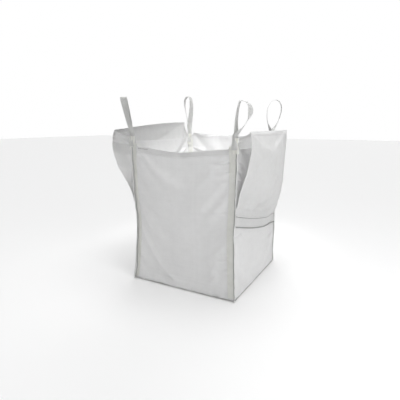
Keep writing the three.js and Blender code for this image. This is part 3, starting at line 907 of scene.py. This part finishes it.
def add_loop(name):
    """A strap from the post's outer side, round the loop, to the post's inner side."""
    loop, end = LOOPS[name], CORNERS[name]["end"]
    q = np.linspace(0, 1, 60)
    right, left = teardrop(q, loop["right"], loop), teardrop(q, -loop["left"], loop)
    x = np.concatenate([right[0], left[0][-2::-1]])
    z = np.concatenate([right[1], left[1][-2::-1]])
    heading = math.radians(loop["heading"])
    deep = -loop["lean"] * z / loop["height"]
    apart = np.concatenate([np.ones(60), -np.ones(59)]) * 0.0022 * np.exp(-z / 0.04) * end
    px = post_x(name) + x * math.cos(heading) - deep * math.sin(heading)
    py = end * POST_Y + x * math.sin(heading) + deep * math.cos(heading) + apart
    ring = np.stack([px, py, LOOP_PIVOT + z], -1)
    drop = np.linspace(STRAP_FOOT, LOOP_PIVOT + LOOP_FOOT, 24, endpoint=False)
    legs = []
    for sign, foot in ((1, ring[0]), (-1, ring[-1])):
        spread = smooth(LOOP_PIVOT + LOOP_FOOT, STRAP_FOOT + 0.02, drop)
        y = foot[1] + sign * end * 0.0115 * spread
        legs.append(np.stack([foot[0] + 0 * drop, y, drop], -1))
    centre = np.concatenate([legs[0], ring, legs[1][::-1]])
    run = run_along(centre)
    shares, headings = zip(*loop["turns"])
    turn = np.radians(np.interp(run / run[-1], shares, headings))
    kernel = np.hanning(13) / np.hanning(13).sum()
    turn = np.convolve(np.pad(turn, 6, mode="edge"), kernel, mode="valid")
    across = np.stack([np.cos(turn), np.sin(turn), 0 * turn], -1)
    height = centre[:, 2]
    curl = 2.5 * smooth(1.31, 1.19, height) * smooth(1.1, 1.17, height)
    builder = Builder()
    add_ribbon(builder, centre, across, WEBBING, WEBBING_THICKNESS, curl)
    piece = builder.build(f"{name}_strap", ["loop"], None, f"{name}_loop")
    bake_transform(piece)


# ---- side flaps


def blend_flap(piece):
    """Bakes a flap piece's placement into its mesh."""
    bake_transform(piece)


def flap_grid(side, columns=150, rows=130):
    t, v = grid_of(np.linspace(0, 1, columns + 1), np.linspace(0, 1, rows + 1))
    if FACES[side]["along"][1] < 0:
        t = t[::-1]
    return flap(side, t, v)


def add_flap(side):
    builder = Builder()
    add_sheet(builder, flap_grid(side), CLOTH)
    piece = builder.build(f"{side}_cover", ["flap"], None, f"{side}_flap")
    blend_flap(piece)
    return piece


def add_flap_hems(side):
    """A flap's front, back and top edges, turned over and stitched."""
    forward = FACES[side]["along"][1]
    length = 2 * (HALF_SIDE - FLAP_INSET)
    wide = FLAP_HEM / length
    for end, (t0, t1) in (("front", (0, wide)), ("back", (1 - wide, 1))):
        builder = Builder()
        t, v = grid_of(np.linspace(t0, t1, 5)[::forward], np.linspace(0.012, 1, 120))
        grid = flap(side, t, v)
        out = normals(grid)
        add_sheet(builder, grid, HEM, lift=HEM_LIFT)
        for column in (0.6, 3.4):
            low = int(column)
            part = column - low
            path = grid[low] * (1 - part) + grid[low + 1] * part + out[low] * HEM_FACE
            add_stitches(builder, path, out[low], 0.01, 1)
        piece = builder.build(f"{side}_cover_{end}_fold", ["hem", "thread"], None,
                              f"{side}_flap_{end}_hem")
        blend_flap(piece)
    builder = Builder()
    t = np.linspace(wide + 0.003, 0.997 - wide, 130)[::forward]
    t, v = grid_of(t, np.linspace(1 - FLAP_TOP_HEM, 1, 6))
    grid = flap(side, t, v)
    out = normals(grid)
    add_sheet(builder, grid, HEM, lift=HEM_LIFT)
    path = grid[:, 1] + out[:, 1] * HEM_FACE
    add_stitches(builder, path, out[:, 1], 0.01, 1)
    builder.build(f"{side}_cover_top_fold", ["hem", "thread"], f"{side}_flap",
                  f"{side}_flap_top_hem")


def add_tab(side, name):
    """The tab that ties a cover's top corner to its post."""
    out = FACES[side]["out"][0]
    end = 1 if name == "back" else -1
    height, foot = TABS[side, name]
    t = TAB_END if end < 0 else 1 - TAB_END
    corner = flap(side, t, TAB_TOP)
    lower = flap(side, t, TAB_TOP - height / (corner[2] - seam_height(t)))
    near = abs(post_x(f"{name}_{side}")) + TAB_POST_GAP
    u, v = grid_of(np.linspace(0, 1, 40), np.linspace(0, 1, 24))
    if out * end > 0:
        u = u[::-1]
    reach = np.abs(lower[0] + (corner[0] - lower[0]) * v) - 0.001
    x = near + (reach - near) * u
    at_post = foot + (TAB_POST_TOP - foot) * v
    at_flap = lower[2] + (corner[2] - lower[2]) * v
    sag = np.sin(math.pi * u)
    z = at_post + (at_flap - at_post) * u - 0.006 * sag * v
    pleat = 0.0022 * (1 - u) ** 2 * np.cos(7 * math.pi * v)
    y = end * (HALF_SIDE - TAB_INSET + 0.004 * sag * np.sin(math.pi * v)) + pleat
    grid = np.stack([out * x, y, z], -1)
    builder = Builder()
    add_sheet(builder, grid, CLOTH)
    add_sheet(builder, grid[:, -4:], 0.0022, kind=1)
    builder.build(f"{side}_cover_{name}_tie", ["flap", "hem"], f"{side}_flap",
                  f"{side}_flap_{name}_tab")


def add_seam_band(side):
    """Where the cover is sewn to its wall: its turned-in foot, with a ridge at the top and at the bottom."""
    builder = Builder()
    forward = FACES[side]["along"][1]
    a = np.linspace(-1, 1, 150)
    seam = seam_height(0.5 + a * forward / 2)
    drop = BAND_SECTION[None, :, 0]
    z = seam[:, None] + drop
    wavy = 1 + 0.15 * waves(a[:, None], 0 * drop, FACES[side]["seed"] + 8, 0.3, 0.08)
    reach = half(z) - FLAP_INSET + 0.002
    grid = wall(side, a[:, None] * reach, z, BAND_SECTION[None, :, 1] * wavy)
    add_sheet(builder, grid, CLOTH)
    out = normals(grid)
    # painted shadow: the dark stitches along the ridges also stand for the shadow lines under the seam's
    # folds
    for column in BAND_ROWS:
        path = grid[:, column] + out[:, column] * CLOTH / 2
        add_stitches(builder, path, out[:, column], 0.009, 1, width=0.0034, fill=0.95)
    builder.build(f"{side}_cover_seam", ["flap", "dark"], "bag", f"{side}_flap_seam_band")


# ---- floor, light and camera


def add_stage():
    bpy.ops.mesh.primitive_plane_add(size=60)
    floor = bpy.context.object
    floor.name = "floor"
    floor.data.materials.append(paper("floor_paper", (0.93, 0.93, 0.93)))


def add_lamp(name, kind, place, target, settings):
    lamp = bpy.data.lights.new(name, kind)
    for setting, value in settings.items():
        setattr(lamp, setting, value)
    light = bpy.data.objects.new(name, lamp)
    light.location = place
    light.rotation_euler = (Vector(target) - Vector(place)).to_track_quat("-Z", "Y").to_euler()
    link(light)


def add_world():
    """A white studio, whose light is stronger from behind and from the left. The camera sees plain white."""
    world = bpy.data.worlds.new("studio")
    scene.world = world
    world.use_nodes = True
    nodes, links = world.node_tree.nodes, world.node_tree.links
    place = nodes.new("ShaderNodeTexCoord")
    towards = nodes.new("ShaderNodeVectorMath")
    towards.operation = "DOT_PRODUCT"
    towards.inputs[1].default_value = WORLD_BRIGHT
    span = nodes.new("ShaderNodeMapRange")
    span.interpolation_type = "SMOOTHSTEP"
    for socket, limit in WORLD_SPAN.items():
        span.inputs[socket].default_value = limit
    light = nodes["Background"]
    backdrop = nodes.new("ShaderNodeBackground")
    seen = nodes.new("ShaderNodeLightPath")
    mix = nodes.new("ShaderNodeMixShader")
    links.new(place.outputs["Generated"], towards.inputs[0])
    links.new(towards.outputs["Value"], span.inputs["Value"])
    links.new(span.outputs[0], light.inputs["Strength"])
    links.new(seen.outputs["Is Camera Ray"], mix.inputs[0])
    links.new(light.outputs[0], mix.inputs[1])
    links.new(backdrop.outputs[0], mix.inputs[2])
    links.new(mix.outputs[0], nodes["World Output"].inputs["Surface"])
    for node in (light, backdrop):
        node.inputs["Color"].default_value = (1, 1, 1, 1)


def add_camera():
    camera = bpy.data.cameras.new("camera")
    camera.sensor_width = 36
    camera.lens = LENS
    camera.dof.use_dof = False
    eye = bpy.data.objects.new("camera", camera)
    eye.location = CAMERA_PLACE
    eye.rotation_euler = (math.radians(90 - CAMERA_DOWN), 0, math.radians(CAMERA_TURN))
    link(eye)
    scene.camera = eye


add_camera()
add_stage()
add_world()
for lamp, values in LAMPS.items():
    add_lamp(lamp, *values)
scene.view_settings.view_transform = "Standard"

settle_all()
walls = {face: add_wall(face) for face in FACES}
base = add_base()
for face in FACES:
    add_rim_hem(face)
    add_bottom_seam(face)
for corner in CORNERS:
    add_corner_seam(corner)
    add_legs(corner)
    add_post(corner)
    add_loop(corner)
covers = {side: add_flap(side) for side in FLAPS}
for side in FLAPS:
    add_flap_hems(side)
    add_tab(side, "front")
    add_tab(side, "back")
    add_seam_band(side)
